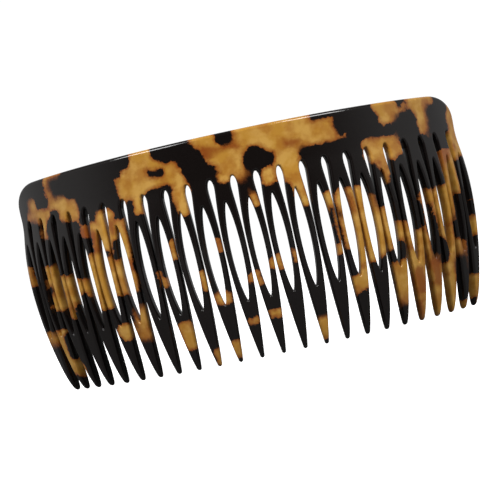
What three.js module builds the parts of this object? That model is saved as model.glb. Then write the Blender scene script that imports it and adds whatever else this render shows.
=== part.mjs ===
// Curved side comb cut from one sheet: a spine with a row of looped teeth hanging from it.
// Millimetres, +Z up. The comb stands on its tooth tips, its convex face looks along -Y,
// and the origin is under the middle of its box, level with the tips.
//
// The sheet is described flat first: `along` runs along the row of teeth from the middle,
// and a height is measured up from the tips. It is then bent round the head in plan, as a
// row of flat facets one pitch wide, and the teeth are bowed so that the tips turn inward.
import * as THREE from 'three';
import { mergeVertices } from 'three/addons/utils/BufferGeometryUtils.js';

// The sheet and its bend
const thickness = 2.5;
const centreRadius = 64.5;      // plan radius of the middle surface at the middle of the comb
const endRadius = 52.5;         // and at its two ends, where it hugs the head more tightly
const bowRadius = 110;          // side-view radius of the bowed teeth
const bowDrop = 12.3;           // from the gap tops down to where the bow stands out furthest

// The row of teeth
const toothCount = 24;
const pitch = 5.3;              // tooth to tooth, along the sheet
const toothLength = 41.6;       // gap top to tip
const widestDrop = 14.5;        // gap top to the widest place of a tooth
const narrowGap = 0.26;         // left between two teeth at that place
const tipRadius = 0.5;

// The round-topped gap between two teeth, where it leaves the spine
const gapWidth = 1.44;
const gapDepth = 2;             // gap top to where the gap is gapWidth wide

// The long eye in each tooth
const eyeDrop = 5.6;            // gap top to the top of the eye
const eyeLength = 22.4;
const eyeWidth = 2.44;
const eyePower = 1.44;          // 1 is an ellipse, more is a more pointed eye

// The spine
const spineHeight = 10;         // gap tops to the top edge at the middle
const spineArch = 1.26;         // how far the top edge falls towards the ends
const cornerLength = 9;         // rounded upper corner, along the sheet
const cornerHeight = 5.2;       // and its height
const endReach = 1.95;          // from the middle of the end tooth to the end of the spine
const neckInset = 0.55;         // how far the waist under each end of the spine is cut in

// Steps of the faceted outlines
const flankSteps = 6;
const eyeSteps = 22;
const gapSteps = 3;
const cornerSteps = 8;
const waistSteps = 5;

const samePlace = 1e-4;         // points nearer to each other than this are one point

// Heights and lengths that follow from the sizes above
const rootHeight = toothLength - gapDepth;
const widestHeight = toothLength - widestDrop;
const bowHeight = toothLength - bowDrop;
const rootHalf = (pitch - gapWidth) / 2;
const widestHalf = (pitch - narrowGap) / 2;
const rowHalf = (toothCount * pitch) / 2;
const spineHalf = rowHalf - pitch / 2 + endReach;
const waistHalf = rowHalf - pitch / 2 + rootHalf - neckInset;
const cornerStart = spineHalf - cornerLength;

// Outward offset of the sheet at a height: a circular bow below the spine, which is upright.
function bowOffset(height) {
  const fromApex = Math.min(height, rootHeight) - bowHeight;
  return -(fromApex ** 2) / (2 * bowRadius);
}

// Heading of the sheet, turning faster towards the ends: the curvature is
// 1/centreRadius at the middle and grows with the square of `along` to 1/endRadius.
function headingAt(along) {
  const growth = (1 / endRadius - 1 / centreRadius) / rowHalf ** 2;
  return along / centreRadius + (growth * along ** 3) / 3;
}

// The row of facets, laid end to end: the heading and the middle point of each.
function layFacets() {
  const row = [];
  const corner = new THREE.Vector2();
  for (let index = 0; index < toothCount; index++) {
    const along = (index + 0.5) * pitch - rowHalf;
    const heading = headingAt(along);
    const tangent = new THREE.Vector2(Math.cos(heading), Math.sin(heading));
    const outward = new THREE.Vector2(tangent.y, -tangent.x);
    const middle = corner.clone().addScaledVector(tangent, pitch / 2);
    corner.addScaledVector(tangent, pitch);
    row.push({ along, heading, tangent, outward, middle });
  }
  for (const facet of row) facet.middle.x -= corner.x / 2;
  return row;
}
const facets = layFacets();

// Point on the boundary before facet `index`, `offset` outward of the middle surface.
// The two facets that meet there are mitred, so both get the same point.
function boundaryPoint(index, offset) {
  const after = facets[Math.min(index, toothCount - 1)];
  const before = facets[Math.max(index - 1, 0)];
  const side = index < toothCount ? -1 : 1;
  const point = after.middle.clone().addScaledVector(after.tangent, (side * pitch) / 2);
  const mitre = after.outward.clone().add(before.outward).normalize();
  return point.addScaledVector(mitre, offset / mitre.dot(after.outward));
}

// Height of the spine's top edge: a shallow arch that ends in two elliptical corners.
function topEdge(along) {
  const arch = spineArch * (along / spineHalf) ** 2;
  const intoCorner = Math.max(0, (Math.abs(along) - cornerStart) / cornerLength);
  const corner = cornerHeight * (1 - Math.sqrt(Math.max(0, 1 - intoCorner ** 2)));
  return toothLength + spineHeight - arch - corner;
}

// Places along the top edge that get a vertex: every facet boundary and the round corners.
function topStations() {
  const stations = [];
  for (let i = 1; i < toothCount; i++) stations.push(i * pitch - rowHalf);
  for (let k = 0; k <= cornerSteps; k++) {
    const along = cornerStart + cornerLength * Math.sin((k / cornerSteps) * (Math.PI / 2));
    stations.push(along, -along);
  }
  return stations.sort((a, b) => a - b);
}

// Flat outline of the spine over one facet, counter-clockwise seen from the convex side.
function spineCell(index) {
  const { along } = facets[index];
  const outline = [];
  const isEnd = { left: index === 0, right: index === toothCount - 1 };

  // Half of a gap's round top, from the root of the tooth up to the gap's top
  const halfGap = (side) => {
    const points = [];
    for (let k = 0; k <= gapSteps; k++) {
      const turn = (k / gapSteps) * (Math.PI / 2);
      const x = along + side * (pitch / 2 - (gapWidth / 2) * Math.cos(turn));
      points.push(new THREE.Vector2(x, rootHeight + gapDepth * Math.sin(turn)));
    }
    return points;
  };
  // The waist that joins the end tooth's root to the end of the spine
  const waist = (side) => {
    const points = [];
    const rise = topEdge(spineHalf) - rootHeight;
    for (let k = 0; k < waistSteps; k++) {
      const swell = (1 - Math.cos((k / waistSteps) * Math.PI)) / 2;
      const x = side * (waistHalf + (spineHalf - waistHalf) * swell);
      points.push(new THREE.Vector2(x, rootHeight + (rise * k) / waistSteps));
    }
    return points;
  };

  outline.push(...(isEnd.right ? waist(1) : halfGap(1)));
  const left = along - pitch / 2;
  const right = along + pitch / 2;
  for (const station of topStations().reverse()) {
    if (station > left - samePlace && station < right + samePlace) {
      outline.push(new THREE.Vector2(station, topEdge(station)));
    }
  }
  outline.push(...(isEnd.left ? waist(-1) : halfGap(-1)).reverse());
  return outline;
}

// The spine: every cell triangulated flat, bent with its facet, and closed by walls
// everywhere except on the boundaries that two cells share.
function spineGeometry() {
  const positions = [];
  for (let index = 0; index < toothCount; index++) {
    const outline = spineCell(index);
    const left = facets[index].along - pitch / 2;
    const right = left + pitch;
    const bent = (point, depth) => {
      const offset = bowOffset(rootHeight) + depth;
      const from = boundaryPoint(index, offset);
      const to = boundaryPoint(index + 1, offset);
      const place = from.lerp(to, (point.x - left) / pitch);
      return [place.x, place.y, point.y];
    };
    const outer = outline.map((point) => bent(point, thickness / 2));
    const inner = outline.map((point) => bent(point, -thickness / 2));
    for (const [a, b, c] of THREE.ShapeUtils.triangulateShape(outline, [])) {
      positions.push(...outer[a], ...outer[b], ...outer[c]);
      positions.push(...inner[c], ...inner[b], ...inner[a]);
    }
    const onBoundary = (point, side) =>
      Math.abs(point.x - (side > 0 ? right : left)) < samePlace;
    outline.forEach((point, a) => {
      const b = (a + 1) % outline.length;
      const shared = [-1, 1].some((s) => onBoundary(point, s) && onBoundary(outline[b], s));
      if (shared) return;
      positions.push(...outer[a], ...inner[a], ...inner[b]);
      positions.push(...outer[a], ...inner[b], ...outer[b]);
    });
  }
  const geometry = new THREE.BufferGeometry();
  geometry.setAttribute('position', new THREE.Float32BufferAttribute(positions, 3));
  const merged = mergeVertices(geometry, samePlace);
  merged.computeVertexNormals();
  return merged;
}

// Flat outline of a tooth with its eye. Each flank is two parabolas that meet upright at the
// widest place, and the tip is an arc. `leftInset` and `rightInset` cut in an end tooth's
// outer root, where the waist under the spine's end runs into it.
function toothShape(leftInset, rightInset) {
  const slope = Math.atan((2 * (widestHalf - tipRadius)) / (widestHeight - tipRadius));
  const shoulder = tipRadius * Math.cos(slope);
  const shoulderHeight = tipRadius * (1 - Math.sin(slope));
  const upperControl = (rootHeight + widestHeight) / 2;
  const lowerControl = (widestHeight + shoulderHeight) / 2;
  const shape = new THREE.Shape();
  shape.moveTo(-rootHalf + leftInset, rootHeight);
  shape.quadraticCurveTo(-widestHalf, upperControl, -widestHalf, widestHeight);
  shape.quadraticCurveTo(-widestHalf, lowerControl, -shoulder, shoulderHeight);
  shape.absarc(0, tipRadius, tipRadius, Math.PI + slope, -slope, false);
  shape.quadraticCurveTo(widestHalf, lowerControl, widestHalf, widestHeight);
  shape.quadraticCurveTo(widestHalf, upperControl, rootHalf - rightInset, rootHeight);
  shape.closePath();

  const eyeMiddle = toothLength - eyeDrop - eyeLength / 2;
  const eye = [];
  for (let k = 0; k < eyeSteps; k++) {
    const turn = (k / eyeSteps) * 2 * Math.PI;
    const across = Math.sign(Math.sin(turn)) * Math.abs(Math.sin(turn)) ** eyePower;
    const up = Math.cos(turn);
    eye.push(new THREE.Vector2((eyeWidth / 2) * across, eyeMiddle + (eyeLength / 2) * up));
  }
  shape.holes.push(new THREE.Path(eye));
  return shape;
}

// A tooth as a solid, upright with its outer face towards -Y, then bowed.
function toothGeometry(leftInset, rightInset) {
  const geometry = new THREE.ExtrudeGeometry(toothShape(leftInset, rightInset), {
    depth: thickness,
    bevelEnabled: false,
    curveSegments: flankSteps,
  });
  geometry.translate(0, 0, -thickness / 2);
  geometry.rotateX(Math.PI / 2);
  const position = geometry.getAttribute('position');
  for (let i = 0; i < position.count; i++) {
    position.setY(i, position.getY(i) - bowOffset(position.getZ(i)));
  }
  geometry.computeVertexNormals();
  return geometry;
}

// One polished tortoiseshell sheet, so every piece has the same warm amber plastic.
function acetate() {
  return new THREE.MeshStandardMaterial({ color: 0xb98a3c, roughness: 0.18, metalness: 0 });
}

const comb = new THREE.Group();
const spine = new THREE.Mesh(spineGeometry(), acetate());
spine.name = 'spine';
comb.add(spine);

facets.forEach((facet, index) => {
  const leftInset = index === 0 ? neckInset : 0;
  const rightInset = index === toothCount - 1 ? neckInset : 0;
  const tooth = new THREE.Mesh(toothGeometry(leftInset, rightInset), acetate());
  tooth.name = `tooth_${String(index + 1).padStart(2, '0')}`;
  tooth.position.set(facet.middle.x, facet.middle.y, 0);
  tooth.rotation.z = facet.heading;
  comb.add(tooth);
});

// Bring the origin under the middle of the comb's box.
comb.updateMatrixWorld(true);
const box = new THREE.Box3().setFromObject(comb, true);
comb.position.set(0, -(box.min.y + box.max.y) / 2, 0);

export default comb;
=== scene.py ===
# Curved tortoiseshell side comb: one polished sheet, shown as a spine and 24 looped teeth.
import math

import bmesh
import bpy
import numpy as np
from mathutils import Matrix, Vector


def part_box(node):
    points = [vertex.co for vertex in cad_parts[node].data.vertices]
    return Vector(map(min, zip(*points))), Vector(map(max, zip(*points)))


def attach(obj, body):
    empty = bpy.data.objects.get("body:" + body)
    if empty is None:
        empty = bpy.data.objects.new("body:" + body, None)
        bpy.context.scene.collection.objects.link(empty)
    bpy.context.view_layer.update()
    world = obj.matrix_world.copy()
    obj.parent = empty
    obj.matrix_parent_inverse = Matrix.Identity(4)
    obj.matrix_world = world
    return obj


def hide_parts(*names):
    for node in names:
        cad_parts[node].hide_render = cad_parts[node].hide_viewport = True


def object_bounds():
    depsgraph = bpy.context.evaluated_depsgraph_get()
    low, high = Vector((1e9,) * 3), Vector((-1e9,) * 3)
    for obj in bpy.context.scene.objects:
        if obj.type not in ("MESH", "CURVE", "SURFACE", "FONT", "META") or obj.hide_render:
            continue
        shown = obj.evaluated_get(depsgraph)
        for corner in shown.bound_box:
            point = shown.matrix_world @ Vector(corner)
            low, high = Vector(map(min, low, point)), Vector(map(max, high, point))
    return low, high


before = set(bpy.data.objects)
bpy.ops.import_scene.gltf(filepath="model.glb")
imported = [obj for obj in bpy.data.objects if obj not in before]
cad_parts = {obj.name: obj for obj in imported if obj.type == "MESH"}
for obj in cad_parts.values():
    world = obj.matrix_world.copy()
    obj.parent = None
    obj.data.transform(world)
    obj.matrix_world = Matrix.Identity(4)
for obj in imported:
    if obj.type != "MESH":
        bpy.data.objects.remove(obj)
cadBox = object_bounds()
print("frame loaded:", len(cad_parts), "solids")

metre = 0.001  # everything below is in millimetres until a mesh is written

# The sheet before it is bent: `along` runs along the row of teeth from its middle, heights are
# measured up from the tips, and depth is outwards from the middle of the sheet.
sheet = {
    "stock": 2.5,               # thickness it is cut from
    "thickness": 2.38,          # and what polishing leaves of it
    "centreRadius": 64.5,       # plan radius at the middle of the comb
    "endRadius": 52.5,          # and at its ends
    "bowRadius": 110.0,         # side-view radius of the bowed teeth
    "bowHeight": 29.3,          # where the bow stands out furthest
    "uprightHeight": 41.9,      # where the bow runs out into the upright spine
    "uprightBlend": 0.5,
    "pitch": 5.3,
    "teeth": 24,
    "rootHeight": 39.6,         # where the teeth meet the spine
    "edgeRound": 0.55,          # how far in from an outline the rounded edge reaches
    "edgePower": 2.5,           # 2 is an elliptical edge, more is a squarer one
    "edgeSteps": 14,
    "frontRoom": 0.03,          # kept between the spine and the front of its solid
    "lean": 0.55,               # how far bending has swung the tips to the right
    "leanPower": 1.6,
}
rowHalf = sheet["teeth"] * sheet["pitch"] / 2
halfThick = sheet["thickness"] / 2


# How far the middle of the sheet stands out at a height: minus the square of the distance from
# the bow's height over twice the bow's radius, with that distance levelling off at the spine.
def bowOffset(height):
    limit = sheet["uprightHeight"] - sheet["bowHeight"]
    blend = sheet["uprightBlend"]
    run = limit - blend * np.logaddexp(0, (limit - (height - sheet["bowHeight"])) / blend)
    return -run ** 2 / (2 * sheet["bowRadius"])


# Heading of the sheet in plan: the curvature grows with the square of `along`.
def headingAt(along):
    growth = (1 / sheet["endRadius"] - 1 / sheet["centreRadius"]) / rowHalf ** 2
    return along / sheet["centreRadius"] + growth * along ** 3 / 3


# The plan curve is the running sum of the heading's cosine and sine. A point of the sheet stands
# on it, moved outwards by the bow and by its own depth. The teeth lean by a power of the
# distance below their roots.
def bendSheet(place):
    along, height, depth = place.T
    below = np.clip(1 - height / sheet["rootHeight"], 0, 1)
    along = along + sheet["lean"] * below ** sheet["leanPower"]
    stations = np.linspace(-rowHalf, rowHalf, 4001)
    step = stations[1] - stations[0]
    heading = headingAt((stations[1:] + stations[:-1]) / 2)
    curveX = np.concatenate([[0], np.cumsum(np.cos(heading))]) * step
    curveY = np.concatenate([[0], np.cumsum(np.sin(heading))]) * step
    curveX -= np.interp(0, stations, curveX)
    curveY -= np.interp(0, stations, curveY)
    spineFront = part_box("spine")[0].y / metre
    cadBow = -(sheet["rootHeight"] - sheet["bowHeight"]) ** 2 / (2 * sheet["bowRadius"])
    curveY += spineFront + cadBow + sheet["stock"] / 2 + sheet["frontRoom"]
    offset = bowOffset(height) + depth
    turn = headingAt(along)
    x = np.interp(along, stations, curveX) + offset * np.sin(turn)
    y = np.interp(along, stations, curveY) - offset * np.cos(turn)
    return np.stack([x, y, height], -1)


# Inward directions of an outline that keeps the material on its left: the tangent turned left.
# Its two ends may be given, so that neighbouring outlines meet squarely.
def inwardOf(path, first=None, last=None):
    tangent = np.gradient(path, axis=0)
    inward = np.stack([-tangent[:, 1], tangent[:, 0]], -1)
    inward /= np.linalg.norm(inward, axis=1, keepdims=True)
    if first is not None:
        inward[0] = first
    if last is not None:
        inward[-1] = last
    return inward


# Rounded edge carried along an outline: a superellipse from the back face round to the front,
# whose inset from the outline is reach * (1 - |cos|^(2/n)) and whose depth is half * |sin|^(2/n).
def edgeStrip(path, inward, reach, half):
    turn = np.linspace(-math.pi / 2, math.pi / 2, sheet["edgeSteps"] + 1)
    cosine, sine = np.abs(np.cos(turn)), np.sin(turn)
    cosine[[0, -1]] = 0
    power = 2 / sheet["edgePower"]
    inset = np.multiply.outer(reach, 1 - cosine ** power)
    depth = np.multiply.outer(half, np.sign(sine) * np.abs(sine) ** power)
    flat = path[:, None, :] + inward[:, None, :] * inset[:, :, None]
    return np.concatenate([flat, depth[:, :, None]], -1)


# Flat points (.., 2) with a depth put to them.
def atDepth(flat, depth):
    return np.concatenate([flat, np.broadcast_to(depth, flat.shape[:-1])[..., None]], -1)


# Grids of points that make one closed surface. A grid's faces point along rows x columns.
class Shell:
    def __init__(self):
        self.points, self.faces, self.count = [], [], 0

    def add(self, grid, turned=False):
        rows, columns = grid.shape[:2]
        index = self.count + np.arange(rows * columns).reshape(rows, columns)
        quads = np.stack([index[:-1, :-1], index[1:, :-1], index[1:, 1:], index[:-1, 1:]], -1)
        quads = quads.reshape(-1, 4)
        self.faces.append(quads[:, ::-1] if turned else quads)
        self.points.append(grid.reshape(-1, 3))
        self.count += rows * columns


# The tortoiseshell figure, as rounded patches of the flat sheet: (from along, to along, from
# height, to height). Each layer is laid over the ones before it.
figure = {
    "layers": [
        ("dark", [
            # spine, left to right
            (-64, -56, 40.5, 51), (-58.4, -48.9, 46.8, 52), (-53.6, -48.9, 43.6, 48),
            (-41.8, -29.2, 44.6, 52.6), (-38.9, -29.4, 38, 46), (-46.7, -40, 45.4, 49.9),
            (-32, -22.8, 48.6, 52.6), (-31, -25.4, 46.9, 50), (-31.4, -27, 38, 44.8),
            (-17.4, -8.4, 48.9, 52.6), (-14.6, -7, 47.7, 50), (-11.4, -6.4, 46, 48.8),
            (-10.4, -5.2, 43.4, 47.2), (-9.8, -3.3, 41.4, 45), (-8.8, -2.6, 38, 42.6),
            (-2.1, 2.3, 48.6, 52.6), (2.9, 9.5, 42.4, 45.5), (4.2, 7.9, 41, 46.8),
            (16, 30.5, 33.6, 44.4), (25.4, 35.4, 46, 52.6), (34, 36.7, 46, 48.4),
            (28.4, 42.6, 43.5, 45.6), (41, 47.6, 41.4, 47.2), (42.6, 47, 45.6, 48),
            (20, 25.7, 50, 52.6), (43, 45.8, 50, 52), (51.6, 59.3, 41.4, 48.4),
            (55.2, 60.6, 46.4, 52), (52, 57.8, 37.8, 43),
            # left teeth
            (-65, -56, 14.8, 41.6), (-65, -58, -1, 11.6), (-57.6, -53.7, 36, 41),
            (-50.7, -48.4, 35.8, 41.8), (-57.6, -49, 30.4, 37), (-48.7, -45.3, 34, 42.6),
            (-49.6, -39.2, 25.9, 39.4), (-39.8, -36.3, 30.3, 35), (-52.6, -26.4, -1, 20.6),
            (-58.4, -50, 15.4, 19.2), (-56.6, -51, -1, 3.3), (-43.2, -41.6, 19, 22.2),
            # middle teeth
            (-26.6, 16, -1, 40.8), (-20.4, -13.8, 38, 42.3), (15.8, 21.3, -1, 40),
            (21, 23.7, 14.3, 19.6), (21.2, 26.6, -1, 9.4),
            # right teeth
            (26.4, 31.9, -1, 15.9), (29, 33.6, 31, 37.4), (31.4, 33.6, 28, 36),
            (34, 36.6, 15, 19.5), (31.4, 34, 15, 17.5), (32.6, 36.4, -1, 4.9),
            (34.6, 38.4, 24, 32.9), (36.5, 38.4, 24, 37.6), (38.8, 42.9, 20.6, 38.4),
            (41.5, 47.7, 29.6, 42), (47, 52.6, 29.8, 41.4), (45, 46.8, 19, 26),
            (44, 46.8, 13.5, 22), (46.2, 49.5, 12, 17.3), (54.5, 58.2, 16, 27),
            (52.4, 55, 17.4, 21), (51.4, 56.8, 1.9, 12.6), (58, 65, 25, 35.2),
            (57.8, 60, 15, 26), (56.9, 65, 7.5, 16.2), (56.8, 60.8, -1, 2.2),
        ]),
        ("amber", [
            (-56.7, -53.6, 42.6, 46.7), (-58.7, -48.4, 41.3, 43.6), (-52.7, -50.6, 36.4, 43),
            (-64, -61.7, 26.2, 31), (-55.6, -49.6, 26, 30.5), (-56.8, -47, 19.3, 27),
            (-49, -43.5, 21.2, 26.8), (-44, -39, 22.2, 26), (-48.6, -46.8, 17.2, 21),
            (-38.6, -33.9, 17.6, 31.4), (-34.6, -29, 20, 40.4), (-63.2, -57.6, 11.6, 14.5),
            (-58, -55.6, 3.6, 15), (-55.8, -50.7, 3.3, 7.4), (-35.5, -31, 9.6, 14.1),
            (-30.2, -26.3, 9.2, 17), (-24, -21, 37.3, 42), (-21.7, -20, 20.3, 24.2),
            (-17.3, -15.6, 25.8, 30.6), (-19.9, -16, 4.8, 11.8), (-13.9, -9.9, 38.5, 43.6),
            (-13.4, -10.8, 34.8, 41), (-12.1, -10.4, 17.3, 22.2), (-13.8, -11, -1, 4.4),
            (-7.1, -5.2, 25, 28.6), (-9.9, -6, 13.6, 16.9), (-9, -6.2, 1.1, 5.4),
            (-1.5, 0.2, 17.2, 19.2), (-3.7, -0.8, 8.1, 9.6), (-3.4, 3.2, 40.4, 43),
            (3, 4.6, 33.8, 37.2), (3.8, 5.3, 19.3, 21.3), (0, 1.6, 16.3, 19.3),
            (1.2, 4.5, 8.5, 10.4), (6.1, 9.8, 37.5, 42), (5.2, 6.9, 19.2, 22.2),
            (9, 10.4, 19.6, 22.4), (9.8, 15.8, 38.5, 43), (12.8, 15.7, 31.5, 39.4),
            (11.5, 14.8, 1, 6.4), (18.9, 21.3, 19.4, 34.2), (44, 45.2, 24.4, 28.8),
            (38.4, 44, 15, 20.4), (46.9, 49, 19.6, 28.8), (60.1, 64, 16.8, 24.8),
            (57.9, 64, 36, 41), (59.4, 64, 40, 47),
        ]),
        ("dark", [
            (-54.7, -53.4, 24.2, 25.6), (-50, -49, 22.6, 23.6), (-33.2, -32.2, 29.9, 31),
            (-31, -29, 28.4, 33.2), (-55, -51.4, 7.8, 13.8), (-18.6, -15.2, 45.2, 46.6),
            (21.3, 22.4, 27.5, 28.7), (19.4, 20.3, 22.2, 30), (61.5, 63.2, 21.4, 24.4),
        ]),
    ],
    "rust": [
        (-47.9, -46.7, 37.4, 41.2), (-39.8, -36.5, 34.9, 38), (-36.4, -34.9, 31, 36),
        (-45.3, -43.9, 32, 34.8), (-49.6, -49, 21.6, 23), (-48.2, -47.6, 19.8, 21.4),
        (-44.8, -41.2, 3.5, 6.7), (-46, -44.4, 6, 7.7), (-40, -37.1, 1.8, 4.9),
        (-63, -58, 4.2, 5.2), (-54.8, -53.4, 10.6, 13.6), (-28, -26.2, 25.4, 28.2),
        (-31, -29.3, 33.8, 38.4), (-5.4, -3.5, 46.4, 48.4), (-5, 2.8, 47.4, 48.7),
        (-10, -8.6, 39, 43), (-15.8, -14.2, 27.3, 29.2), (-15, -11.6, 10, 13.4),
        (-7, -5.3, 25.4, 28.2), (-10.2, -9, 22.4, 24.2), (-5.2, -3.8, 28.8, 30.2),
        (0.9, 4.2, 37.8, 40.4), (2.2, 3.6, -1, 1.6), (7.8, 9.2, 1.6, 4), (10.8, 12.2, 34.2, 36),
        (11.7, 14.8, 7.4, 12), (16.2, 17.8, 32.4, 35.2), (12.5, 16.8, 44.9, 46.8),
        (24.2, 25.9, 27.6, 32.6), (24.2, 25.2, 15, 16.2), (23.2, 24.5, 0.8, 2.7),
        (33.7, 34.8, 36, 38), (36.6, 38.4, 16.7, 18), (37.8, 41.3, 6.4, 12.4),
        (37.4, 40, -1, 5), (43.4, 46.4, 7, 13.6), (44.4, 45.4, -1, 0.8), (53, 56.8, 34.2, 38),
        (48.8, 52.4, 33.2, 36.2), (49.5, 51, 19.6, 22.6), (47.6, 49.8, -1, 1.8),
        (48.6, 49.4, 8.4, 9.2), (56.2, 57.8, 13, 15.9), (56.9, 57.7, 4, 8),
        (59.2, 60.2, 37.3, 38.3), (58.2, 59, 40.6, 41.6),
    ],
    # where the borders are clouded
    "haze": [
        (50.6, 53, 40, 50), (-47.6, -42.4, 44.6, 50.4), (36.4, 42, 5, 14), (42.4, 47, 6, 15),
        (32, 36.6, 4, 8), (10.8, 15.2, 6, 13), (-30.6, -26, 8, 18), (12, 17.4, 44, 47.6),
        (0, 4.6, 37, 42), (40.6, 43.2, 42, 48), (48, 53.4, 32, 38), (-63.6, -57, 3, 15),
        (29, 31.6, 24, 31), (21, 23, 26, 30), (51, 57, 9, 15), (-58, -54, 41, 47),
    ],
    "corner": 0.8,              # how round a patch's corners are, as a share of its half size
    "cornerMost": 1.6,          # and the most that a large patch's corners may be, in mm
    "blend": 0.8,               # mm over which patches flow together
    "drift": 0.2,               # mm that slow waves move the outlines
    "lean": 0.5,                # mm that the figure moves between the front and the back
}


# Signed distance to a set of rounded boxes, flowing together: the smooth minimum of their
# distances, which is minus the blend times the log of the sum of exp(-distance / blend).
def patchDistance(along, height, patches):
    box = np.array(patches).T[:, :, None]
    halfA, halfH = (box[1] - box[0]) / 2, (box[3] - box[2]) / 2
    corner = np.minimum(figure["corner"] * np.minimum(halfA, halfH), figure["cornerMost"])
    offA = np.abs(along - (box[0] + box[1]) / 2) - halfA + corner
    offH = np.abs(height - (box[2] + box[3]) / 2) - halfH + corner
    outside = np.hypot(np.maximum(offA, 0), np.maximum(offH, 0))
    distance = outside + np.minimum(np.maximum(offA, offH), 0) - corner
    return -figure["blend"] * np.logaddexp.reduce(-distance / figure["blend"], axis=0)


# The dark, rust and haze fields at points of the sheet: below 0 inside a patch, in mm. The
# points are first moved by a few slow waves and by the lean between the two faces.
def figureFields(place):
    along, height, depth = place.T
    rng = np.random.default_rng(7)
    waves = rng.uniform(0.25, 0.9, (6, 2)) * rng.choice([-1, 1], (6, 2))
    phases = rng.uniform(0, 2 * math.pi, (6, 2))
    angle = waves[:, :1] * along + waves[:, 1:] * height
    behind = figure["lean"] * (1 - depth / halfThick) / 2
    moved = [along, height]
    for axis in range(2):
        wave = np.sin(angle + phases[:, axis:axis + 1])
        moved[axis] = moved[axis] + figure["drift"] * wave.mean(0) * 2 + behind * wave[axis]
    field = np.full(len(along), 5.0)
    for kind, patches in figure["layers"]:
        distance = patchDistance(*moved, patches)
        field = np.minimum(field, distance) if kind == "dark" else np.maximum(field, -distance)
    rust, haze = (patchDistance(*moved, figure[kind]) for kind in ("rust", "haze"))
    return {"darkField": field, "rustField": rust, "hazeField": haze}


# Writes a shell as a mesh object in metres, welded, smooth except at cut faces, with its place
# in the flat sheet and its share of the figure as point attributes.
def makePiece(name, shell, node):
    place = np.concatenate(shell.points)
    mesh = bpy.data.meshes.new(name)
    mesh.from_pydata(bendSheet(place) * metre, [], np.concatenate(shell.faces).tolist())
    mesh.attributes.new("sheetPlace", "FLOAT_VECTOR", "POINT")
    mesh.attributes["sheetPlace"].data.foreach_set("vector", place.ravel())
    work = bmesh.new()
    work.from_mesh(mesh)
    bmesh.ops.remove_doubles(work, verts=work.verts, dist=2e-6)
    work.to_mesh(mesh)
    work.free()
    flat = np.empty(len(mesh.vertices) * 3)
    mesh.attributes["sheetPlace"].data.foreach_get("vector", flat)
    for title, values in figureFields(flat.reshape(-1, 3)).items():
        mesh.attributes.new(title, "FLOAT", "POINT")
        mesh.attributes[title].data.foreach_set("value", values.clip(-5, 5))
    mesh.shade_smooth()
    mesh.set_sharp_from_angle(angle=math.radians(50))
    piece = bpy.data.objects.new(name, mesh)
    bpy.context.scene.collection.objects.link(piece)
    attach(piece, "root")
    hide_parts(node)
    return piece


tooth = {
    "gapTop": 41.6,             # the drops below are measured from here
    "widestDrop": 14.5,
    "widestHalf": 2.52,
    "rootHalf": 1.93,
    "rootEase": 0.1,            # how gently the flank leaves the upright root
    "tipRadius": 0.5,
    "tipReach": 0.42,           # the rounded edge is tighter at the tip
    "tipThick": 0.7,            # the sheet is ground to a bullet nose, this thick at the very tip
    "noseHeight": 5.0,          # and full again here
    "tightHeight": 12.0,        # below here the rounded edge draws in to tipReach
    "eyeDrop": 5.6,
    "eyeLength": 22.4,
    "eyeWidth": 2.44,
    "eyePower": 1.44,           # more is a more pointed eye
    "eyeCrowd": 0.4,            # how far the steps draw together at the eye's two ends
    "neckInset": 0.55,          # the waist cut into the outer root of each end tooth
    "endSwell": (0.45, 0.0),    # and how much wider the left and right ones' outer flanks are
    "neckSteps": 7, "eyeSteps": 110, "stemSteps": 34, "tipSteps": 8, "acrossSteps": 8,
}


# Half width of a tooth at a height. Above the widest place it falls to the root's half width
# with the square of an eased distance, below it with the square of the plain distance.
def halfWidth(height, rootHalf, full):
    widest = tooth["gapTop"] - tooth["widestDrop"]
    rise = np.clip((sheet["rootHeight"] - height) / (sheet["rootHeight"] - widest), 0, 1)
    ease = tooth["rootEase"]
    eased = (np.sqrt(rise ** 2 + ease ** 2) - ease) / (math.sqrt(1 + ease ** 2) - ease)
    upper = full - (full - rootHalf) * (1 - eased) ** 2
    tipHalf, tipHeight = tipShoulder()
    fall = np.clip((widest - height) / (widest - tipHeight), 0, 1)
    return np.where(height > widest, upper, full - (full - tipHalf) * fall ** 2)


# Where the flank runs into the tip's arc: the arc's point whose tangent has the flank's slope.
def tipShoulder():
    widest = tooth["gapTop"] - tooth["widestDrop"]
    radius = tooth["tipRadius"]
    slope = math.atan(2 * (tooth["widestHalf"] - radius) / (widest - radius))
    return radius * math.cos(slope), radius * (1 - math.sin(slope))


# Eye outline, right half from the top: half width times sin^power, height times cos, with the
# steps drawn together at the two pointed ends.
def eyeHalf():
    share = np.linspace(0, 1, tooth["eyeSteps"] + 1)
    turn = math.pi * share - tooth["eyeCrowd"] * np.sin(2 * math.pi * share)
    middle = tooth["gapTop"] - tooth["eyeDrop"] - tooth["eyeLength"] / 2
    across = tooth["eyeWidth"] / 2 * np.abs(np.sin(turn)) ** tooth["eyePower"]
    return np.stack([across, middle + tooth["eyeLength"] / 2 * np.cos(turn)], -1)


# Half thickness at a height: full, then a quarter ellipse down to the tip's below the nose.
def thickAt(height):
    below = np.clip(1 - height / tooth["noseHeight"], 0, 1)
    tip = tooth["tipThick"] / 2
    return tip + (halfThick - tip) * np.sqrt(1 - below ** 2)


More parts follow.
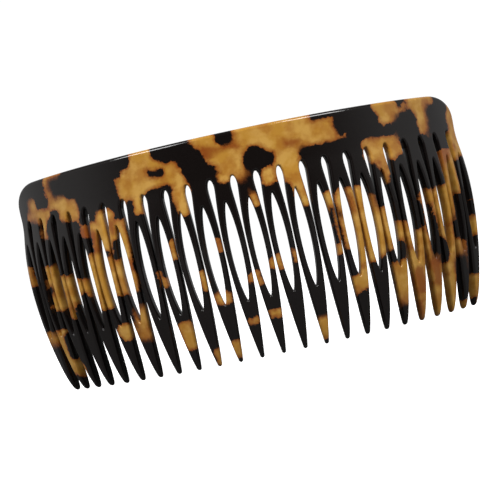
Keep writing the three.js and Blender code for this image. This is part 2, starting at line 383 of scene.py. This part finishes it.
# One half of a tooth, side 1 or -1: the rows run from the root down to the tip, between the
# centre line or the eye and the flank. A fuller flank is the plain one moved sideways by the
# difference in half width, so the two halves keep one centre line.
def addToothHalf(shell, centre, side, rootHalf, full):
    reach = sheet["edgeRound"]
    eye = eyeHalf()
    eyeIn = inwardOf(eye, (0, 1), (0, -1))
    around = eye + reach * eyeIn
    neck = np.linspace(sheet["rootHeight"], around[0, 1], tooth["neckSteps"] + 1)[:-1]
    tipHalf, tipHeight = tipShoulder()
    stem = np.linspace(around[-1, 1], tipHeight, tooth["stemSteps"] + 1)[1:]
    height = np.concatenate([neck, around[:, 1], stem])
    flank = np.stack([halfWidth(height, rootHalf, tooth["widestHalf"]), height], -1)
    angle = np.linspace(math.atan2(tooth["tipRadius"] - tipHeight, tipHalf), math.pi / 2,
                        tooth["tipSteps"] + 1)[1:]
    arc = tooth["tipRadius"] * np.stack([np.cos(angle), 1 - np.sin(angle)], -1)
    flank = np.concatenate([flank, arc])
    inward = -inwardOf(flank, (1, 0), (0, -1))
    low = np.clip(1 - flank[:, 1] / tooth["tightHeight"], 0, 1) ** 2
    reaches = reach + (tooth["tipReach"] - reach) * low
    inset = flank + inward * reaches[:, None]
    fuller = halfWidth(height, rootHalf, full) - flank[:len(height), 0]
    flank[:len(height), 0] += fuller
    inset[:len(height), 0] += fuller
    half = thickAt(flank[:, 1])
    inner = np.stack([np.zeros(len(flank)), inset[:, 1]], -1)
    inner[:len(neck), 1] = neck
    first, last = len(neck), len(neck) + len(around)
    inner[first:last] = around
    share = np.linspace(0, 1, tooth["acrossSteps"] + 1)[:, None]
    face = inner[:, None] + (inset - inner)[:, None] * share
    place = (side, 1, 1)
    shift = (centre, 0, 0)
    shell.add(atDepth(face, half[:, None]) * place + shift, turned=side < 0)
    shell.add(atDepth(face, -half[:, None]) * place + shift, turned=side > 0)
    shell.add(edgeStrip(flank, inward, reaches, half) * place + shift, turned=side > 0)
    rim = edgeStrip(eye, eyeIn, np.full(len(eye), reach), half[first:last])
    shell.add(rim * place + shift, turned=side < 0)


# The flat cut across a tooth's root: the edge profile on both sides, joined straight across.
def rootCap(centre, leftHalf, rightHalf):
    steps = tooth["acrossSteps"]
    share = np.linspace(-1, 1, 2 * steps + 1)
    height = sheet["rootHeight"]
    reach = np.full(1, sheet["edgeRound"])
    edge = edgeStrip(np.array([[0, height]]), np.array([[1.0, 0]]), reach, np.full(1, halfThick))[0]
    width = np.where(share < 0, leftHalf, rightHalf)
    x = share * (width - edge[:, :1])
    depth = np.broadcast_to(edge[:, 2:], x.shape)
    return np.stack([centre + x, np.full(x.shape, height), depth], -1)


centres = (np.arange(sheet["teeth"]) + 0.5) * sheet["pitch"] - rowHalf
rootHalves = np.full((sheet["teeth"], 2), tooth["rootHalf"])
fullHalves = np.full((sheet["teeth"], 2), tooth["widestHalf"])
for end, side, swell in zip((0, -1), (0, 1), tooth["endSwell"]):
    rootHalves[end, side] -= tooth["neckInset"]
    fullHalves[end, side] += swell

pieces = []
for index, centre in enumerate(centres):
    shell = Shell()
    addToothHalf(shell, centre, -1, rootHalves[index, 0], fullHalves[index, 0])
    addToothHalf(shell, centre, 1, rootHalves[index, 1], fullHalves[index, 1])
    shell.add(rootCap(centre, *rootHalves[index]))
    number = f"{index + 1:02d}"
    pieces.append(makePiece("loopTooth_" + number, shell, "tooth_" + number))
print("teeth made:", len(pieces))

spine = {
    "height": 10.0,             # gap tops to the top edge, at the middle
    "arch": 1.26,               # how far the top edge falls towards the ends
    "halfLength": 62.85,
    "cornerLength": 9.0,
    "cornerHeight": 5.2,
    "gapDepth": 2.0,            # from a gap's round top down to the roots of the teeth
    "topRound": 0.8,            # the top edge is rounded further than the rest
    "roundFrom": 42.0, "roundTo": 47.0,
    "waistSteps": 14, "cornerSteps": 14, "gapSteps": 16,
}


# Top outline at a distance along: an arch that falls with the square of the distance, less an
# elliptical corner near each end.
def topOutline(along):
    start = spine["halfLength"] - spine["cornerLength"]
    into = np.clip((np.abs(along) - start) / spine["cornerLength"], 0, 1)
    arch = spine["arch"] * (along / spine["halfLength"]) ** 2
    corner = spine["cornerHeight"] * (1 - np.sqrt(1 - into ** 2))
    return tooth["gapTop"] + spine["height"] - arch - corner


# Right end from the root up: a cosine swell from the waist to the full length, then the corner
# ellipse up to halfway round.
def endOutline():
    start = spine["halfLength"] - spine["cornerLength"]
    waist = centres[-1] + rootHalves[-1, 1]
    share = np.linspace(0, 1, spine["waistSteps"] + 1)
    swell = (1 - np.cos(math.pi * share)) / 2
    side = np.stack([waist + (spine["halfLength"] - waist) * swell,
                     sheet["rootHeight"] + share * (topOutline(spine["halfLength"])
                                                    - sheet["rootHeight"])], -1)
    turn = np.linspace(math.pi / 2, math.pi / 4, spine["cornerSteps"] + 1)[1:]
    x = start + spine["cornerLength"] * np.sin(turn)
    return np.concatenate([side, np.stack([x, topOutline(x)], -1)])


# Round top of the gap after a tooth: half an ellipse, from its left foot over to its right.
def gapOutline(centre):
    turn = np.linspace(0, math.pi, spine["gapSteps"] + 1)
    width = sheet["pitch"] / 2 - tooth["rootHalf"]
    x = centre + sheet["pitch"] / 2 - width * np.cos(turn)
    return np.stack([x, sheet["rootHeight"] + spine["gapDepth"] * np.sin(turn)], -1)


# The spine's faces fill the space between four outlines: each point is the sum of the blends
# between opposite outlines, less the blend between the four corners.
def fillBetween(bottom, top, left, right):
    u = np.linspace(0, 1, len(bottom))[None, :, None]
    v = np.linspace(0, 1, len(left))[:, None, None]
    across = (1 - u) * left[:, None] + u * right[:, None]
    upwards = (1 - v) * bottom[None] + v * top[None]
    corners = (1 - u) * ((1 - v) * left[0] + v * left[-1]) + u * ((1 - v) * right[0] + v * right[-1])
    return across + upwards - corners


# The spine's shell: the lower edge runs through the teeth's root caps and the gap tops, the rest
# of the outline is the right end, the top and the mirrored end, each rounded by an edge strip. The
# rounding grows from the sheet's own to the top's with 3t^2 - 2t^3 of the height. Each face is
# blended between the inset edges.
def buildSpine():
    shell = Shell()
    reach = sheet["edgeRound"]
    bottom = []
    for index, (centre, (leftHalf, rightHalf)) in enumerate(zip(centres, rootHalves)):
        cap = rootCap(centre, leftHalf, rightHalf)
        shell.add(cap, turned=True)
        bottom.append(cap[-1, :, :2])
        if index + 1 < len(centres):
            gap = gapOutline(centre)
            inward = inwardOf(gap, (-1, 0), (1, 0))
            shell.add(edgeStrip(gap, inward, np.full(len(gap), reach), np.full(len(gap), halfThick)))
            bottom.append((gap + reach * inward)[1:-1])
    bottom = np.concatenate(bottom)
    right = endOutline()
    x = bottom[::-1, 0] * right[-1, 0] / bottom[-1, 0]
    top = np.stack([x, topOutline(x)], -1)
    outline = np.concatenate([right, top[1:-1], (right * (-1, 1))[::-1]])
    inward = inwardOf(outline, (-1, 0), (1, 0))
    rise = np.clip((outline[:, 1] - spine["roundFrom"]) / (spine["roundTo"] - spine["roundFrom"]), 0, 1)
    reaches = reach + (spine["topRound"] - reach) * rise ** 2 * (3 - 2 * rise)
    shell.add(edgeStrip(outline, inward, reaches, np.full(len(outline), halfThick)))
    inset = outline + inward * reaches[:, None]
    ends = len(right)
    face = fillBetween(bottom, inset[ends - 1:len(outline) - ends + 1][::-1],
                       inset[-ends:][::-1], inset[:ends])
    shell.add(atDepth(face, halfThick), turned=True)
    shell.add(atDepth(face, -halfThick))
    return makePiece("combSpine", shell, "spine")


pieces.append(buildSpine())
print("spine made")


# A shader socket that can stand in an expression: every operation adds one Math node.
class Wire:
    def __init__(self, graph, socket):
        self.graph, self.socket = graph, socket

    def maths(self, operation, first, second):
        return self.graph.add("ShaderNodeMath", {"operation": operation}, {0: first, 1: second})

    def __add__(self, other):
        return self.maths("ADD", self, other)

    def __radd__(self, other):
        return self.maths("ADD", other, self)

    def __sub__(self, other):
        return self.maths("SUBTRACT", self, other)

    def __rsub__(self, other):
        return self.maths("SUBTRACT", other, self)

    def __mul__(self, other):
        return self.maths("MULTIPLY", self, other)

    def __rmul__(self, other):
        return self.maths("MULTIPLY", other, self)

    def __truediv__(self, other):
        return self.maths("DIVIDE", self, other)


# A node tree that is filled by one method: the node's type, its settings, its socket values or
# links, and which output to hand back.
class Graph:
    def __init__(self, tree):
        self.tree = tree
        tree.nodes.clear()

    def add(self, kind, settings=None, values=None, output=0):
        node = self.tree.nodes.new(kind)
        for name, value in (settings or {}).items():
            if name == "stops":
                while len(node.color_ramp.elements) < len(value):
                    node.color_ramp.elements.new(1)
                for element, (position, colour) in zip(node.color_ramp.elements, value):
                    element.position, element.color = position, (*colour, 1)
            else:
                setattr(node, name, value)
        for key, value in (values or {}).items():
            if isinstance(value, Wire):
                self.tree.links.new(value.socket, node.inputs[key])
            else:
                node.inputs[key].default_value = value
        return Wire(self, node.outputs[output]) if len(node.outputs) else node

    # Colours by a Mix node: the factor, then the two colours
    def mixColour(self, factor, first, second, blend="MIX"):
        return self.add("ShaderNodeMix", {"data_type": "RGBA", "blend_type": blend},
                        {0: factor, 6: first, 7: second}, output=2)

    # 0 to 1 with rounded ends as the value goes from low to high
    def step(self, value, low, high):
        return self.add("ShaderNodeMapRange", {"interpolation_type": "SMOOTHSTEP"},
                        {"Value": value, "From Min": low, "From Max": high})

    def noise(self, place, scale, detail=2.0, roughness=0.5):
        return self.add("ShaderNodeTexNoise", {"noise_dimensions": "3D"},
                        {"Vector": place, "Scale": scale, "Detail": detail, "Roughness": roughness})


acetate = {
    "amber": (0.50, 0.245, 0.036, 1),
    "paleAmber": (0.60, 0.335, 0.075, 1),
    "deepAmber": (0.36, 0.125, 0.016, 1),
    "rust": (0.25, 0.055, 0.009, 1),
    "dark": (0.0065, 0.0045, 0.004, 1),
    "crispEdge": 0.12,          # half width of the sharpest border of a dark patch, in mm
    "softEdge": 0.9,            # and of the most clouded one
    "rimWidth": 0.8,            # rust that the dark bleeds into the amber, in mm
    "ragged": 0.55,             # how far noise moves the borders, in mm
    "coarseShare": 1.7,         # and how much of that is coarse noise
    "fineShare": 0.7,           # and fine noise
    "roughness": 0.14,
    "refraction": 1.49,
}


# The sheet's material. Darkness is a rounded step of the dark field plus noise, over a half width
# that grows with the haze. The rust rim is the same step carried further out. The amber is mixed
# from three tones by noise, then rust and dark are laid over it.
def makeAcetate():
    material = bpy.data.materials.new("tortoiseshellAcetate")
    material.use_nodes = True
    graph = Graph(material.node_tree)
    place = graph.add("ShaderNodeAttribute", {"attribute_name": "sheetPlace"}, output="Vector")
    dark = graph.add("ShaderNodeAttribute", {"attribute_name": "darkField"}, output="Fac")
    rust = graph.add("ShaderNodeAttribute", {"attribute_name": "rustField"}, output="Fac")
    haze = graph.add("ShaderNodeAttribute", {"attribute_name": "hazeField"}, output="Fac")

    coarse = graph.noise(place, 0.42, 3)
    fine = graph.noise(place, 1.5, 3, 0.6)
    cloud = graph.noise(place, 0.16, 2)
    middle = (acetate["coarseShare"] + acetate["fineShare"]) / 2
    uneven = coarse * acetate["coarseShare"] + fine * acetate["fineShare"] - middle
    ragged = uneven * (2 * acetate["ragged"])
    edge = dark + ragged
    clouded = graph.step(0 - haze, -0.8, 0.8) + graph.step(cloud, 0.45, 0.7) * 0.3
    half = clouded * (acetate["softEdge"] - acetate["crispEdge"]) + acetate["crispEdge"]
    darkness = 1 - graph.step(edge, 0 - half, half)
    rim = 1 - graph.step(edge, 0 - half, half * 2 + acetate["rimWidth"])
    stain = 1 - graph.step(rust + ragged, -0.9, 0.7)

    tone = graph.mixColour(graph.step(graph.noise(place, 0.3, 3), 0.38, 0.66),
                           acetate["amber"], acetate["paleAmber"])
    tone = graph.mixColour(graph.step(graph.noise(place, 0.28, 3, 0.5), 0.46, 0.68) * 0.6,
                           tone, acetate["deepAmber"])
    tone = graph.mixColour(stain * 0.8, tone, acetate["rust"])
    tone = graph.mixColour(rim * 0.9, tone, acetate["rust"])
    tone = graph.mixColour(darkness, tone, acetate["dark"])

    polish = graph.noise(place, 2.5, 4, 0.65)
    wipe = graph.add("ShaderNodeBump", values={"Height": graph.noise(place, 0.8, 2),
                                               "Strength": 0.05, "Distance": 0.0003})
    shader = graph.add("ShaderNodeBsdfPrincipled", values={
        "Base Color": tone,
        "Roughness": acetate["roughness"] + (polish - 0.5) * 0.1,
        "IOR": acetate["refraction"],
        "Coat Weight": 0.35,
        "Coat Roughness": 0.04,
        "Coat IOR": acetate["refraction"],
        "Normal": wipe,
    })
    graph.add("ShaderNodeOutputMaterial", values={"Surface": shader})
    return material


finish = makeAcetate()
for piece in pieces:
    piece.data.materials.append(finish)
print("acetate applied")

studio = {
    "floorColour": (0.92, 0.92, 0.92, 1),
    "floorShown": 1.0,          # the floor's own glow as the camera sees it, an even white
    "floorBounce": (0.13, 0.13, 0.13, 1),
    "floorSize": 3000.0,
    "skyShown": 1.05,           # the pale room as the camera sees it
    "skyLight": 0.36,           # and as it lights the comb
    "skyFront": 0.02,           # the darker side of the room, in front of the comb
    "skyAbove": 0.15,           # how much of the room's light is left overhead
    # name, direction it stands in (degrees round from the front, degrees up), size, power
    "lamps": [("leftBox", -42, 38, 420, 6.0), ("rightBox", 42, 38, 420, 6.0),
              ("backBox", 180, 30, 600, 0.6)],
    "lampDistance": 900.0,
}


# A plain square floor at the comb's foot. The camera sees it glow an even white, while the comb
# is lit by the darker bounce: the two shaders are mixed by whether a ray is the camera's own.
def makeStage():
    half = studio["floorSize"] * metre / 2
    floorMesh = bpy.data.meshes.new("studioFloor")
    corners = [(-half, -half, 0), (half, -half, 0), (half, half, 0), (-half, half, 0)]
    floorMesh.from_pydata(corners, [], [(0, 1, 2, 3)])
    floor = bpy.data.objects.new("studioFloor", floorMesh)
    bpy.context.scene.collection.objects.link(floor)
    material = bpy.data.materials.new("paleFloor")
    material.use_nodes = True
    graph = Graph(material.node_tree)
    shown = graph.add("ShaderNodeBsdfPrincipled", values={
        "Base Color": studio["floorColour"], "Roughness": 0.8,
        "Emission Color": studio["floorColour"], "Emission Strength": studio["floorShown"]})
    bounce = graph.add("ShaderNodeBsdfDiffuse", values={"Color": studio["floorBounce"]})
    seen = graph.add("ShaderNodeLightPath", output="Is Camera Ray")
    shader = graph.add("ShaderNodeMixShader", values={0: seen, 1: bounce, 2: shown})
    graph.add("ShaderNodeOutputMaterial", values={"Surface": shader})
    floorMesh.materials.append(material)


# The room is white to the camera. As a light its strength runs from front to back by a rounded
# step of y, times one less the loss overhead by a rounded step of z. So it is darker in front of
# the comb, and what the convex face mirrors straight on stays black.
def makeRoom():
    world = bpy.data.worlds.new("paleRoom")
    world.use_nodes = True
    bpy.context.scene.world = world
    graph = Graph(world.node_tree)
    direction = graph.add("ShaderNodeTexCoord", output="Generated")
    y = graph.add("ShaderNodeSeparateXYZ", values={0: direction}, output="Y")
    z = graph.add("ShaderNodeSeparateXYZ", values={0: direction}, output="Z")
    around = graph.add("ShaderNodeMix", {"data_type": "FLOAT"},
                       {0: graph.step(y, -0.95, -0.2), 2: studio["skyFront"], 3: studio["skyLight"]})
    light = around * (1 - graph.step(z, 0.3, 0.9) * (1 - studio["skyAbove"]))
    seen = graph.add("ShaderNodeLightPath", output="Is Camera Ray")
    strength = graph.add("ShaderNodeMix", {"data_type": "FLOAT"},
                         {0: seen, 2: light, 3: studio["skyShown"]})
    sky = graph.add("ShaderNodeBackground", values={"Color": (1, 1, 1, 1), "Strength": strength})
    graph.add("ShaderNodeOutputWorld", values={"Surface": sky})


# A soft box stands at a bearing round the comb and looks at the comb's middle.
def makeLamp(name, around, up, size, power):
    light = bpy.data.lights.new(name, "AREA")
    light.shape, light.size, light.energy = "SQUARE", size * metre, power
    lamp = bpy.data.objects.new(name, light)
    bpy.context.scene.collection.objects.link(lamp)
    a, e = math.radians(around), math.radians(up)
    way = Vector((math.sin(a) * math.cos(e), -math.cos(a) * math.cos(e), math.sin(e)))
    lamp.location = (cadBox[0] + cadBox[1]) / 2 + way * studio["lampDistance"] * metre
    lamp.rotation_euler = way.to_track_quat("Z", "Y").to_euler()


makeStage()
makeRoom()
for lamp in studio["lamps"]:
    makeLamp(*lamp)
print("studio lit")

view = {
    "azimuth": 2.39,            # degrees round from straight in front
    "elevation": 0.74,
    "roll": 12.15,              # the comb is seen tilted, its right end up
    "distance": 452.1,
    "lens": 145.3,
    "aim": (0.0, 1.25, 24.7),   # from the front of the comb's box, at its foot
    "shift": (0.0042, -0.0013),
}


# The camera looks back along its bearing at the aim, then its own axes are turned by the roll.
def makeCamera():
    a, e = math.radians(view["azimuth"]), math.radians(view["elevation"])
    roll = math.radians(view["roll"])
    back = Vector((math.sin(a) * math.cos(e), -math.cos(a) * math.cos(e), math.sin(e)))
    level = Vector((math.cos(a), math.sin(a), 0))
    up = back.cross(level)
    right = level * math.cos(roll) - up * math.sin(roll)
    upward = up * math.cos(roll) + level * math.sin(roll)
    lens = bpy.data.cameras.new("studioCamera")
    lens.lens, lens.sensor_width = view["lens"], 36
    lens.shift_x, lens.shift_y = view["shift"]
    lens.clip_start, lens.clip_end = 0.01, 20
    camera = bpy.data.objects.new("studioCamera", lens)
    bpy.context.scene.collection.objects.link(camera)
    aim = Vector((0, cadBox[0].y, 0)) + Vector(view["aim"]) * metre
    turned = Matrix((right, upward, back)).transposed().to_4x4()
    camera.matrix_world = Matrix.Translation(aim + back * view["distance"] * metre) @ turned
    bpy.context.scene.camera = camera


makeCamera()
bpy.context.scene.view_settings.view_transform = "Standard"

print("ready")
